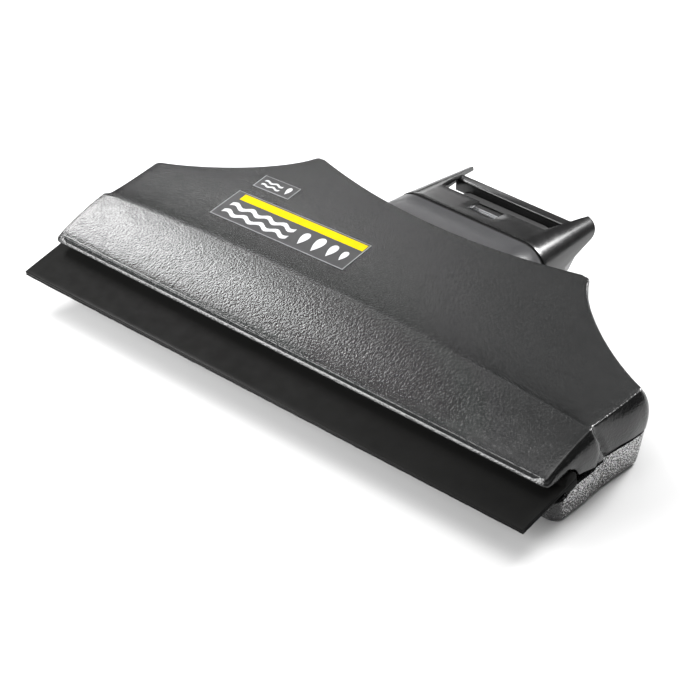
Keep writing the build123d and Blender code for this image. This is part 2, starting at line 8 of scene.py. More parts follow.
import bmesh
import bpy
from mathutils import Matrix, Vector


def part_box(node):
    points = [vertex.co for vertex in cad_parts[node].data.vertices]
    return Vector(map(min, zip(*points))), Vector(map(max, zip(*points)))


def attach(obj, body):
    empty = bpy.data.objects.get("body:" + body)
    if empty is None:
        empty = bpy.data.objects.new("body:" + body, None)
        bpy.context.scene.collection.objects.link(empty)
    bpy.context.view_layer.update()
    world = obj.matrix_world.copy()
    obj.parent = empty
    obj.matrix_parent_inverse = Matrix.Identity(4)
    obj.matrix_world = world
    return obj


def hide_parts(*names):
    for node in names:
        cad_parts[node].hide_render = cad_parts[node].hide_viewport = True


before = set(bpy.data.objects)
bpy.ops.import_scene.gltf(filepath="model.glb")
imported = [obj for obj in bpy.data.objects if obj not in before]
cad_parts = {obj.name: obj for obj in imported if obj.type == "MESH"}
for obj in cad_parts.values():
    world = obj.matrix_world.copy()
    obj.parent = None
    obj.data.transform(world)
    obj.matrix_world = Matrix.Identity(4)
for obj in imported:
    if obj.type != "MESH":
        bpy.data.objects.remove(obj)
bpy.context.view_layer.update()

MM = 0.001
TIP_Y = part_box("upper_wiper_lip")[0].y / MM

# depths of the head's stations, as in the CAD, but for the crest's ends, which lie 1 mm further back
NOSE, CREST_END, CREST_MIDDLE = 17.4, 47.5, 53.8
SHOULDER, REAR_CORNER, REAR_MIDDLE = 81.9, 127.6, 115.6
SHELL_FRONT = 27.0
SLEEVE_FRONT, SLEEVE_END, COLLAR_FRONT = 108.0, 141.0, 142.4
PLATE_END, CROSSBAR, ARM_END = 158.6, 177.0, 186.2

NOSE_HALF, END_HALF, REAR_HALF, NECK_HALF, ARM_HALF = 137.0, 136.3, 76.7, 43.0, 39.0
SEAM_BOTTOM, SEAM_TOP = 17.4, 19.0
WALL = 1.8
SLEEVE_TOP_FRONT, SLEEVE_TOP_END, ARM_TOP, NECK_BOTTOM = 38.2, 35.0, 28.9, 3.0
NECK_RADIUS, ARM_RADIUS, NECK_PLAY, RIM_LENGTH, RIM_STEP = 13.0, 8.0, 0.15, 0.5, 0.35

# nose band: its lip is turned down, its middle is crowned, and its underside starts behind the lip
LIP_BOTTOM, LIP_TOP, NOSE_RISE = 25.2, 28.2, 0.27
NOSE_CROWN, NOSE_LIP, TURN_DOWN, TURN_DOWN_LENGTH = 1.3, 6.6, 0.9, 5.5
EDGE_RADIUS, ROLL_RADIUS = 1.0, 2.4
# stretches of the front lip's profile: start and end as shares, first and last angle from straight down
ROLL_STRETCHES = ((0.0, 0.2, 85, 48), (0.2, 0.85, 48, 22), (0.85, 1.0, 10, -70))

# panel behind the crest; a pair is for the middle and the ends
VALLEY, DIP_LENGTH, DIPS, PANEL_SLOPES = 25.0, 2.5, (0.3, 0.8), (0.115, 0.065)

# corners of the plan outline
NOSE_CORNER, SHELL_CORNER, SHOULDER_CORNER, REAR_CORNER_RADIUS = 3.0, 6.5, 3.4, 3.2
COVER_STEP, SHELL_STEP, STEP_LENGTH = 1.2, 0.7, 3.0
FLANK_START, FLANK_END = (118.0, 89.0), (84.5, 109.0)

# end walls: two lobes, with a groove between them
BULGE, SHELL_BULGE, DRAFT, FOOT_RADIUS = 3.4, 2.1, 0.9, 1.7
GROOVE_TOP, GROOVE_LOW, GROOVE_HALF, GROOVE_SHARE, GROOVE_WIDTH = 1.0, 9.8, 1.3, 0.6, 1.5
NOSE_LOBE_START, REAR_LOBE_START, REAR_LOBE_FADE = 0.35, 0.45, 0.85
ROUND_SHARE, BULGE_SPAN, BULGE_POWER, SHELL_POWER = 0.28, 0.72, 0.75, 0.6

# edges of the end walls: arch over the beads, then the seam
ARCH_FRONT, ARCH_LEAD, ARCH_RADIUS, BEAD_DEPTH, BEAD_HEIGHT = 27.4, 3.2, 5.4, 31.8, 21.2
SEAM_START, MOUTH_TOP, MOUTH_BACK = 52.0, 11.0, SHELL_FRONT + 1.0
CRADLE, CRADLE_HEIGHT = 36.5, 16.3      # the shell's end walls dip under the beads
REAR_WALL = REAR_MIDDLE - 3.0           # behind this depth the walls are open for the neck
BORE_RADIUS, BORE_DEPTH = 3.2, 4.0

# lips
LIP_LENGTH, LIP_TILT, LIP_MID, LIP_TRIM = 280.0, math.radians(10.8), 15.5, 0.22
LIP_GAP, LIP_THICKNESS, LIP_CHAMFER = 0.2, 1.1, 0.22
BEAD_START, BEAD_END, BEAD_TOP, BEAD_RADIUS, BEAD_FILLET = 28.2, 35.0, 4.0, 1.8, 1.4
PAD_PITCH, PAD_LENGTH, PAD_WIDTH, PAD_HEIGHT, PAD_START, PAD_SINK = 16.5, 9.5, 3.4, 0.35, 0.25, 0.2

# collar
WINDOW_FRONT_HALF, WINDOW_END_HALF = 29.2, 33.2
NOTCH_HALF, NOTCH_DEPTH = 7.75, 9.6
RING_END_HEIGHT, ARM_CUT, TIP_START, TIP_RISE = 18.0, 21.3, 179.4, 7.0
BAR_TOP, BAR_WIDTH, BAR_HEIGHT, BAR_OVERLAP = 29.0, 3.4, 7.5, 0.4
JAW_START, JAW_END, JAW_TOP, JAW_TOP_HALF, JAW_BOTTOM_HALF = PLATE_END - 4, 174.8, 14.5, 36.0, 31.0

# labels: middle and turn on the panel, half sizes, and heights of film, edge and print over it
LARGE_LABEL = {"x": -50.5, "depth": 77.5, "turn": 1.8}
SMALL_LABEL = {"x": -76.5, "depth": 97.8, "turn": 1.8}
LARGE_HALF, SMALL_HALF, LABEL_EDGE = (38.2, 10.2), (10.4, 4.7), 0.45
FILM_LIFT, EDGE_LIFT, PRINT_LIFT, PRINT_THICKNESS = 0.14, 0.17, 0.18, 0.03
STRIPE_START, STRIPE_END = (-33.6, 4.8), (37.2, 9.2)
DROP_LINE, DROPS = -2.4, ((32.4, 3.4), (25.8, 4.4), (18.0, 5.2), (9.8, 4.4))    # place and size


# ---- small tools
def point(x, depth, z):
    """Place in the row frame of a point given in millimetres."""
    return Vector((x * MM, (TIP_Y + depth) * MM, z * MM))


def smooth(a, b, x):
    """Eased step from 0 at a to 1 at b."""
    t = min(max((x - a) / (b - a), 0.0), 1.0)
    return t * t * (3 - 2 * t)


def mix(a, b, t):
    return a + (b - a) * t


def spread(a, b, count):
    """Evenly spaced values from a to b, both included."""
    return [mix(a, b, i / (count - 1)) for i in range(count)]


def grid_faces(rows, columns, first=0):
    """Quads over a grid of vertices, row by row from the first one."""
    faces = []
    for r in range(rows - 1):
        for corner in range(first + r * columns, first + (r + 1) * columns - 1):
            faces.append((corner, corner + 1, corner + columns + 1, corner + columns))
    return faces


def add_object(name, data):
    """New object in the scene."""
    thing = bpy.data.objects.new(name, data)
    bpy.context.scene.collection.objects.link(thing)
    return thing


def new_piece(name, verts, faces, material, angle=40):
    """Smooth-shaded mesh object with consistent outward faces."""
    mesh = bpy.data.meshes.new(name)
    mesh.from_pydata(verts, [], faces)
    bm = bmesh.new()
    bm.from_mesh(mesh)
    bmesh.ops.remove_doubles(bm, verts=bm.verts, dist=0.00002)
    bmesh.ops.recalc_face_normals(bm, faces=bm.faces)
    bm.to_mesh(mesh)
    bm.free()
    piece = add_object(name, mesh)
    mesh.materials.append(material)
    shade(piece, angle)
    return piece


def shade(piece, angle):
    """Smooth faces, with edges sharper than the angle left crisp."""
    mesh = piece.data
    mesh.polygons.foreach_set("use_smooth", [True] * len(mesh.polygons))
    bm = bmesh.new()
    bm.from_mesh(mesh)
    for edge in bm.edges:
        sharp = len(edge.link_faces) == 2 and edge.calc_face_angle(0.0) > math.radians(angle)
        edge.smooth = not sharp
    bm.to_mesh(mesh)
    bm.free()


def apply_modifiers(piece):
    """Makes a piece's modifiers part of its mesh."""
    graph = bpy.context.evaluated_depsgraph_get()
    graph.update()
    mesh = bpy.data.meshes.new_from_object(piece.evaluated_get(graph))
    piece.modifiers.clear()
    piece.data = mesh
    return piece


def soften(piece, width, segments, angle):
    """Rounds the edges of a finished solid."""
    step = piece.modifiers.new("edges", "BEVEL")
    step.width = width * MM
    step.segments = segments
    step.limit_method = "ANGLE"
    step.angle_limit = math.radians(angle)
    apply_modifiers(piece)
    shade(piece, angle)
    return piece


def thicken(piece, thickness):
    """Gives an open sheet its wall thickness, on its inner side."""
    wall = piece.modifiers.new("wall", "SOLIDIFY")
    wall.thickness = thickness * MM
    wall.offset = -1.0
    wall.use_even_offset = True
    apply_modifiers(piece)
    shade(piece, 50)
    return piece


def place(piece, body, slot, *nodes):
    """Hangs a finished piece on its body, in place of any CAD nodes given."""
    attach(piece, body)
    if nodes:
        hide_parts(*nodes)
    return piece


# ---- materials
def material(name, color, roughness, metallic=0.0, specular=0.5):
    """New material with a Principled shader; returns it with its nodes and shader."""
    mat = bpy.data.materials.new(name)
    mat.use_nodes = True
    shader = mat.node_tree.nodes["Principled BSDF"]
    shader.inputs["Base Color"].default_value = (*color, 1.0)
    shader.inputs["Roughness"].default_value = roughness
    shader.inputs["Metallic"].default_value = metallic
    shader.inputs["Specular IOR Level"].default_value = specular
    return mat, mat.node_tree, shader


def noise_node(tree, scale, detail=2.0, stretch=(1, 1, 1)):
    """Noise in object space; scale is in features per metre."""
    place_node = tree.nodes.new("ShaderNodeTexCoord")
    stretch_node = tree.nodes.new("ShaderNodeMapping")
    stretch_node.inputs["Scale"].default_value = stretch
    noise = tree.nodes.new("ShaderNodeTexNoise")
    noise.inputs["Scale"].default_value = scale
    noise.inputs["Detail"].default_value = detail
    tree.links.new(place_node.outputs["Object"], stretch_node.inputs["Vector"])
    tree.links.new(stretch_node.outputs["Vector"], noise.inputs["Vector"])
    return noise.outputs["Fac"]


def ranged(tree, value, low, high, start=0.3, end=0.7):
    """Maps a value between start and end to a range."""
    node = tree.nodes.new("ShaderNodeMapRange")
    node.inputs["From Min"].default_value = start
    node.inputs["From Max"].default_value = end
    node.inputs["To Min"].default_value = low
    node.inputs["To Max"].default_value = high
    tree.links.new(value, node.inputs["Value"])
    return node.outputs["Result"]


def tint(tree, shader, factor, dark, light):
    """Base colour that moves with a factor from a shade, or the output of a node, to a shade."""
    node = tree.nodes.new("ShaderNodeMix")
    node.data_type = "RGBA"
    if isinstance(dark, tuple):
        node.inputs[6].default_value = (*dark, 1.0)
    else:
        tree.links.new(dark, node.inputs[6])
    node.inputs[7].default_value = (*light, 1.0)
    tree.links.new(factor, node.inputs[0])
    tree.links.new(node.outputs[2], shader.inputs["Base Color"])
    return node.outputs[2]


def along_axis(tree, axis):
    """Object coordinate along one axis, in metres."""
    coordinates = tree.nodes.new("ShaderNodeTexCoord")
    split = tree.nodes.new("ShaderNodeSeparateXYZ")
    tree.links.new(coordinates.outputs["Object"], split.inputs["Vector"])
    return split.outputs[axis]


def maths(tree, operation, *values):
    """Result of a math node on the outputs of other nodes."""
    node = tree.nodes.new("ShaderNodeMath")
    node.operation = operation
    for value, socket in zip(values, node.inputs):
        tree.links.new(value, socket)
    return node.outputs[0]


def bump(tree, shader, height, distance, normal=None):
    """Bump from a height value, over another bump if there is one; distance is in metres."""
    node = tree.nodes.new("ShaderNodeBump")
    node.inputs["Distance"].default_value = distance
    node.inputs["Strength"].default_value = 1.0
    tree.links.new(height, node.inputs["Height"])
    if normal:
        tree.links.new(normal, node.inputs["Normal"])
    tree.links.new(node.outputs["Normal"], shader.inputs["Normal"])
    return node.outputs["Normal"]


def worn_edges(tree, shader, color, lighter):
    """Slightly paler colour along convex edges, from handling."""
    geometry = tree.nodes.new("ShaderNodeNewGeometry")
    amount = ranged(tree, geometry.outputs["Pointiness"], 0.0, 0.6, 0.53, 0.6)
    tint(tree, shader, amount, color, lighter)


def front_polish(tree, rough, polished, *depths):
    """Roughness that is lower ahead of the first depth, and as given behind the second."""
    start, end = ((TIP_Y + depth) * MM for depth in depths)
    behind = ranged(tree, along_axis(tree, "Y"), 0.0, 1.0, start, end)
    node = tree.nodes.new("ShaderNodeMix")
    node.inputs[2].default_value = polished
    tree.links.new(behind, node.inputs[0])
    tree.links.new(rough, node.inputs[3])
    return node.outputs[0]


def grained_plastic(name, dark, light, rough, grain, depth, fine=0.0, worn=None, specular=0.5,
                    polish=None):
    """Moulded plastic or rubber: mottled tone, uneven gloss, eroded or pebbled grain."""
    mat, tree, shader = material(name, dark, rough[0], specular=specular)
    cloud = ranged(tree, noise_node(tree, 28.0, 3.0), 0.0, 1.0)
    color = tint(tree, shader, cloud, dark, light)
    if worn:
        worn_edges(tree, shader, color, worn)
    gloss = ranged(tree, noise_node(tree, 160.0, 4.0), rough[0], rough[1])
    if polish:
        gloss = front_polish(tree, gloss, *polish)
    tree.links.new(gloss, shader.inputs["Roughness"])
    normal = None
    if fine:
        normal = bump(tree, shader, noise_node(tree, grain * 3.1, 2.0), fine)
    bump(tree, shader, noise_node(tree, grain, 2.0), depth, normal)
    return mat


def painted_glints(mat, scale, levels, glint_color, shaded_below):
    """Paints pale glints into the base colour where a coarse noise lies between two levels: painted
    highlights in place of the grain's glints; they thin out below a height in mm, as painted shade.
    """
    tree = mat.node_tree
    shader = tree.nodes["Principled BSDF"]
    below = shader.inputs["Base Color"].links[0].from_socket
    # painted shade: fewer painted glints lower down, below the given height; the noise below places the
    # painted highlights
    shift = ranged(tree, along_axis(tree, "Z"), -0.12, 0.03, 0.0, shaded_below * MM)
    grain = maths(tree, "ADD", shift, noise_node(tree, scale, 1.0))
    facing = tree.nodes.new("ShaderNodeSeparateXYZ")
    geometry = tree.nodes.new("ShaderNodeNewGeometry")
    tree.links.new(geometry.outputs["Normal"], facing.inputs["Vector"])
    # the end walls only: faces within about 30 degrees of sideways, where the painted glints stand in for
    # reflections
    sideways = ranged(tree, maths(tree, "ABSOLUTE", facing.outputs["X"]), 0.0, 1.0, 0.86, 0.99)
    glint = maths(tree, "MULTIPLY", ranged(tree, grain, 0.0, 1.0, *levels), sideways)
    tint(tree, shader, glint, below, glint_color)
    return mat


def brushed_metal(name, dark, light):
    """Steel with fine drawn lines along X."""
    mat, tree, shader = material(name, dark, 0.3, metallic=1.0)
    lines = noise_node(tree, 900.0, 3.0, stretch=(0.05, 1.0, 1.0))
    tint(tree, shader, ranged(tree, lines, 0.0, 1.0), dark, light)
    tree.links.new(ranged(tree, lines, 0.24, 0.40), shader.inputs["Roughness"])
    bump(tree, shader, lines, 0.00001)
    return mat


def printed(name, dark, light, specular=0.3):
    """Label film or ink: slightly uneven tone and gloss."""
    mat, tree, shader = material(name, dark, 0.35, specular=specular)
    tint(tree, shader, ranged(tree, noise_node(tree, 240.0, 3.0), 0.0, 1.0), dark, light)
    tree.links.new(ranged(tree, noise_node(tree, 500.0, 2.0), 0.30, 0.42), shader.inputs["Roughness"])
    bump(tree, shader, noise_node(tree, 1500.0, 2.0), 0.000006)
    return mat


def grey(level, blue=None):
    """Neutral shade, or one with its own blue."""
    return (level, level, level if blue is None else blue)


def make_materials():
    """All finishes of the head, by name."""
    mats = {}
    mats["cover"] = grained_plastic(
        "cover_grey_plastic", (0.0056, 0.0059, 0.0059), (0.0072, 0.0075, 0.0075), rough=(0.21, 0.27),
        grain=1000.0, depth=0.00016, fine=0.00003, worn=(0.014, 0.0145, 0.015),
        polish=(0.14, NOSE + 0.6, NOSE + 2.6),
    )
    shell = grained_plastic(
        "shell_black_plastic", grey(0.006), grey(0.010), rough=(0.10, 0.18),
        grain=900.0, depth=0.0016, fine=0.0002, worn=grey(0.02), specular=1.0,
    )
    # painted highlights: pale glints painted into the colour of the shell's end walls, with fewer near the
    # foot as painted shade
    mats["shell"] = painted_glints(shell, scale=1700.0, levels=(0.48, 0.58), glint_color=grey(0.95), shaded_below=13.0)
    mats["collar"] = grained_plastic(
        "collar_black_plastic", grey(0.006), grey(0.009), rough=(0.20, 0.27),
        grain=1400.0, depth=0.000008, worn=grey(0.02),
    )
    mats["duct"] = grained_plastic(
        "duct_black_plastic", grey(0.006), grey(0.010), rough=(0.5, 0.6), grain=1400.0, depth=0.00004,
    )
    mats["rubber"] = grained_plastic(
        "lip_rubber", grey(0.0034, 0.0032), grey(0.0048, 0.0045), rough=(0.62, 0.74),
        grain=2600.0, depth=0.000012, specular=0.08, polish=(0.3, 0.0, 2.0),
    )
    mats["seal"] = grained_plastic(
        "seal_rubber", grey(0.008), grey(0.012), rough=(0.6, 0.75), grain=1800.0, depth=0.00002,
    )
    mats["sleeve"] = grained_plastic(
        "sleeve_grey_plastic", grey(0.034, 0.036), grey(0.042, 0.044), rough=(0.30, 0.38),
        grain=1100.0, depth=0.00003, worn=grey(0.04),
    )
    mats["keeper"] = brushed_metal("keeper_steel", (0.62, 0.63, 0.65), (0.80, 0.81, 0.82))
    mats["screw"] = brushed_metal("screw_steel", grey(0.46, 0.47), grey(0.62))
    mats["film"] = printed("clear_film", grey(0.012, 0.013), grey(0.016, 0.017), specular=0.5)
    mats["border"] = printed("silver_border", (0.17, 0.175, 0.18), (0.23, 0.235, 0.24))
    mats["yellow"] = printed("yellow_print", (0.46, 0.345, 0.0), (0.50, 0.38, 0.0), specular=0.05)
    mats["white"] = printed("white_print", (0.42, 0.425, 0.43), (0.48, 0.485, 0.49))
    return mats


MATS = make_materials()


# ---- shape of the head
def crest_depth(x):
    """The crest of the nose band bows back in the middle."""
    return mix(CREST_MIDDLE, CREST_END, (x / NOSE_HALF) ** 2)


def nose_height(depth):
    """Gently crowned band from the turned-down lip to the crest."""
    run = depth - NOSE
    share = min(max(run / (CREST_MIDDLE - NOSE), 0.0), 1.0)
    turn_down = TURN_DOWN * max(1 - run / TURN_DOWN_LENGTH, 0.0) ** 2
    return LIP_TOP + NOSE_RISE * run + NOSE_CROWN * math.sin(math.pi * share) - turn_down


def top_height(x, depth):
    """Height of the cover: nose band, a short dip behind its crest, then a panel that climbs."""
    crest = crest_depth(x)
    behind = depth - crest
    if behind <= 0:
        return nose_height(depth)
    share = (x / NOSE_HALF) ** 2
    slope = mix(*PANEL_SLOPES, share)
    climb = behind ** 2 / (2 * VALLEY) if behind < VALLEY else behind - VALLEY / 2
    dip = mix(*DIPS, share) * (1 - math.exp(-behind / DIP_LENGTH))
    return nose_height(crest) - dip + slope * climb


def curve(a, b, c, d, count):
    """Points along a cubic curve in plan."""
    points = []
    for t in spread(0.0, 1.0, count):
        s = 1 - t
        points.append(tuple(
            s ** 3 * a[k] + 3 * s * s * t * b[k] + 3 * s * t * t * c[k] + t ** 3 * d[k] for k in (0, 1)
        ))
    return points


def rounded(before, corner, after, radius, count):
    """Points round one corner of a plan outline."""
    middle = Vector(corner)
    back = (Vector(before) - middle).normalized()
    ahead = (Vector(after) - middle).normalized()
    reach = radius / math.tan(back.angle(ahead) / 2)
    start, end = middle + back * reach, middle + ahead * reach
    return [tuple(start * (1 - t) ** 2 + middle * 2 * t * (1 - t) + end * t * t)
            for t in spread(0.0, 1.0, count)]


def side_path(front, corner, step):
    """Right edge of the head in plan, from its front corner to its rear corner; steps in at the crest."""
    crest, behind = (NOSE_HALF, CREST_END), (NOSE_HALF - step, CREST_END + STEP_LENGTH)
    # the shoulder's corner before it is rounded, and the rear corner
    shoulder, rear = (END_HALF + 0.8, SHOULDER + 0.8), (REAR_HALF, REAR_CORNER)
    flank = curve(shoulder, FLANK_START, FLANK_END, rear, 22)
    path = rounded((0, front), (NOSE_HALF, front), crest, corner, 8)
    path += [(NOSE_HALF, mix(front + corner, CREST_END, t)) for t in spread(0.06, 0.97, 18)]
    path += [crest] + [(mix(crest[0], behind[0], across), mix(CREST_END, behind[1], back))
                       for across, back in ((0.3, 0.4), (0.75, 0.7))]
    path += [(mix(behind[0], shoulder[0], t), mix(behind[1], shoulder[1], t)) for t in spread(0.0, 0.88, 22)]
    path += rounded(behind, shoulder, flank[2], SHOULDER_CORNER, 9)
    path += flank[2:-2]
    path += rounded(flank[-3], rear, (REAR_HALF - 20, REAR_CORNER - 5.4), REAR_CORNER_RADIUS, 7)
    return path


def inset_path(path, inset, front):
    """The same edge, moved into the head, and ahead only as far as a new front."""
    moved = []
    for i, (half, depth) in enumerate(path):
        before, after = Vector(path[max(i - 1, 0)]), Vector(path[min(i + 1, len(path) - 1)])
        along = (after - before).normalized()
        foremost = front + (depth - path[0][1]) * 0.01     # rises a little, so that no two rows meet
        moved.append((half - along.y * inset, max(depth + along.x * inset, foremost)))
    return moved


def plan_rows(path, columns, rear_middle):
    """Rows across the head between the two side edges, bowed to the crest and the rear edge."""
    lengths = [0.0]
    for a, b in zip(path, path[1:]):
        lengths.append(lengths[-1] + math.dist(a, b))
    crest = min(range(len(path)), key=lambda i: abs(path[i][1] - CREST_END))
    front_bow, rear_bow = CREST_MIDDLE - CREST_END, rear_middle - path[-1][1]
    rows = []
    for i, (half, depth) in enumerate(path):
        if i <= crest:
            bow = front_bow * lengths[i] / lengths[crest]
        else:
            bow = mix(front_bow, rear_bow, (lengths[i] - lengths[crest]) / (lengths[-1] - lengths[crest]))
        rows.append([(half * share, depth + bow * (1 - share * share)) for share in columns])
    return rows


def border(rows):
    """Keys of a grid's border: front row, right side, rear row backwards, left side."""
    count, width = len(rows), len(rows[0])
    ring = [(0, c) for c in range(width)]
    ring += [(r, width - 1) for r in range(1, count)]
    ring += [(count - 1, c) for c in range(width - 2, -1, -1)]
    ring += [(r, 0) for r in range(count - 2, 0, -1)]
    return ring


def outward(loop):
    """Outward direction in plan at each point of such a border."""
    normals = []
    for i in range(len(loop)):
        along = (Vector(loop[(i + 1) % len(loop)]) - Vector(loop[i - 1])).normalized()
        normals.append(Vector((along.y, -along.x)))
    return normals


def stand_out(x, depth, low=1.0):
    """Share of the end walls' bulge: two lobes, with a groove that runs back as it goes down."""
    if abs(x) < REAR_HALF + 4:
        return 0.0
    middle = CREST_END + GROOVE_TOP + (GROOVE_LOW - GROOVE_TOP) * low
    ahead = mix(NOSE_LOBE_START, 1.0, smooth(NOSE + 4, middle - 3, depth))
    behind = mix(REAR_LOBE_START, 1.0, smooth(middle + 3, SHOULDER - 6, depth))
    behind *= 1 - REAR_LOBE_FADE * smooth(SHOULDER + 4, REAR_CORNER - 8, depth)
    groove = GROOVE_SHARE * math.exp(-((depth - middle) / GROOVE_WIDTH) ** 2)
    return mix(ahead, behind, smooth(middle - GROOVE_HALF, middle + GROOVE_HALF, depth)) - groove


def sleeve_top(depth):
    return mix(SLEEVE_TOP_FRONT, SLEEVE_TOP_END, (depth - SLEEVE_FRONT) / (SLEEVE_END - SLEEVE_FRONT))


def neck_edge(x, depth, upper):
    """Height of the sleeve's outside above or below its middle, at this x."""
    side = max(abs(x) - (NECK_HALF - NECK_RADIUS), 0.0)
    rise = NECK_RADIUS - math.sqrt(max(NECK_RADIUS ** 2 - side ** 2, 0.0))
    return sleeve_top(depth) + NECK_PLAY - rise if upper else NECK_BOTTOM - NECK_PLAY + rise


def cover_edge(x, depth):
    """Lowest height of the cover's wall: over the lips, the bead, the seam and the neck."""
    if depth > REAR_WALL and abs(x) < NECK_HALF + NECK_PLAY:
        return neck_edge(x, depth, True)
    if depth < ARCH_FRONT:
        return LIP_BOTTOM
    arch = BEAD_HEIGHT + math.sqrt(max(ARCH_RADIUS ** 2 - (depth - BEAD_DEPTH) ** 2, 0.0))
    if depth < BEAD_DEPTH + ARCH_RADIUS:
        return min(arch, LIP_BOTTOM) if depth < BEAD_DEPTH - ARCH_LEAD else arch
    return mix(BEAD_HEIGHT, SEAM_TOP, smooth(BEAD_DEPTH + ARCH_RADIUS, SEAM_START, depth))


def shell_edge(x, depth):
    """Top height of the lower shell's wall, under the lips, the seam and the neck."""
    if depth > REAR_WALL and abs(x) < NECK_HALF + NECK_PLAY:
        return min(neck_edge(x, depth, False), SEAM_BOTTOM)
    if depth < MOUTH_BACK:
        return MOUTH_TOP
    if depth < CRADLE:
        return mix(MOUTH_TOP, CRADLE_HEIGHT, smooth(MOUTH_BACK, CRADLE, depth))
    return mix(CRADLE_HEIGHT, SEAM_BOTTOM, min((depth - CRADLE) / (SEAM_START - CRADLE), 1.0))


def column_shares():
    """Columns across the head, as shares of its half width, tight beside the neck."""
    right = [x / REAR_HALF for x in (0, 10, 20, 28, 32, 35.5, 38.5, 40.8, 42.4, 43.1, 43.35, 47)]
    right += spread(0.66, 1.0, 13)
    return [-share for share in reversed(right[1:])] + right


class Sheet:
    """Collects points and faces of a closed form made of grids and rings."""

    def __init__(self):
        self.verts, self.faces = [], []

    def add(self, place_at):
        self.verts.append(place_at)
        return len(self.verts) - 1

    def grid(self, rows, height, shift):
        """Grid of plan points; shift moves border points; returns the ids of its border."""
        first = len(self.verts)
        for r, row in enumerate(rows):
            for c, (x, depth) in enumerate(row):
                moved = shift.get((r, c), (x, depth))
                self.verts.append(point(*moved, height(*moved)))
        self.faces += grid_faces(len(rows), len(rows[0]), first=first)
        return [first + r * len(rows[0]) + c for r, c in border(rows)]

    def bridge(self, a, b):
        """Quads between two closed rings of the same size."""
        for i in range(len(a)):
            j = (i + 1) % len(a)
            self.faces.append((a[i], b[i], b[j], a[j]))

    def skin(self, rings):
        """Joins each ring to the next one."""
        for a, b in zip(rings, rings[1:]):
            self.bridge(a, b)


def roll_profile(steps):
    """Turned-down front lip, as shares of its reach and height."""
    points = [(0.0, 0.0)]
    for k in range(steps):
        share = (k + 0.5) / steps
        start, end, first, last = next(stretch for stretch in ROLL_STRETCHES if share <= stretch[1])
        angle = math.radians(mix(first, last, (share - start) / (end - start)))
        points.append((points[-1][0] + math.sin(angle), points[-1][1] + math.cos(angle)))
    reach, height = max(out for out, down in points), points[-1][1]
    return [(out / reach, down / height) for out, down in points]


def build_cover():
    """Upper cover: crowned top, rounded edges, bulged walls and turned-down lip, one closed shell."""
    columns = column_shares()
    path = side_path(NOSE, NOSE_CORNER, COVER_STEP)
    rows = plan_rows(path, columns, REAR_MIDDLE)
    inner_rows = plan_rows(inset_path(path, WALL, NOSE + NOSE_LIP), columns, REAR_MIDDLE - WALL)
    ring = border(rows)
    loop = [rows[r][c] for r, c in ring]
    inner_loop = [inner_rows[r][c] for r, c in ring]
    normals = outward(loop)
    fronts = [max(-normal.y, 0.0) ** 2 if depth < NOSE + NOSE_CORNER else 0.0
              for (x, depth), normal in zip(loop, normals)]
    radii = [mix(EDGE_RADIUS, ROLL_RADIUS, front) for front in fronts]

    def out(i, distance):
        return (loop[i][0] + normals[i].x * distance, loop[i][1] + normals[i].y * distance)

    sheet = Sheet()
    shift = {key: out(i, -radii[i]) for i, key in enumerate(ring)}
    rings = [sheet.grid(rows, top_height, shift)]
    steps = 14
    profile = roll_profile(steps)
    for k in range(1, steps + 1):
        share = k / steps
        ids = []
        for i in range(len(ring)):
            x, depth = shift[ring[i]]
            top, edge, radius = top_height(x, depth), cover_edge(*loop[i]), radii[i]
            # side: a quarter round, then the bulged wall; front: the profile of the turned-down lip
            turn = min(share / ROUND_SHARE, 1.0) * math.pi / 2
            fall = max((share - ROUND_SHARE) / (1 - ROUND_SHARE), 0.0)
            swell = math.sin(math.pi * BULGE_SPAN * fall ** BULGE_POWER)
            bulge = BULGE * stand_out(*loop[i], fall) * swell
            side = (-radius + radius * math.sin(turn) + bulge,
                    mix(top - radius * (1 - math.cos(turn)), edge, fall))
            roll = (radius * (profile[k][0] - 1), mix(top, edge, profile[k][1]))
            distance, height = (mix(side[n], roll[n], fronts[i]) for n in (0, 1))
            ids.append(sheet.add(point(*out(i, distance), height)))
        rings.append(ids)
    rings.append([sheet.add(point(*inner_loop[i], cover_edge(*loop[i]))) for i in range(len(ring))])
    rings.append(sheet.grid(inner_rows, lambda x, depth: top_height(x, depth) - WALL, {}))
    sheet.skin(rings)
    cover = new_piece("cover_moulding", sheet.verts, sheet.faces, MATS["cover"], angle=50)
    for edge in cover.data.edges:
        ends = [cover.data.vertices[v].co / MM for v in edge.vertices]
        edge.use_edge_sharp |= all(on_crest(end) for end in ends)
    return place(cover, "head", "cover_plastic", "upper_cover")


def on_crest(vert):
    """Whether a point in the row frame, in mm, lies on the cover's crest line."""
    return abs(vert.y - TIP_Y - crest_depth(vert.x)) < 0.15 and vert.z > SEAM_TOP + 8


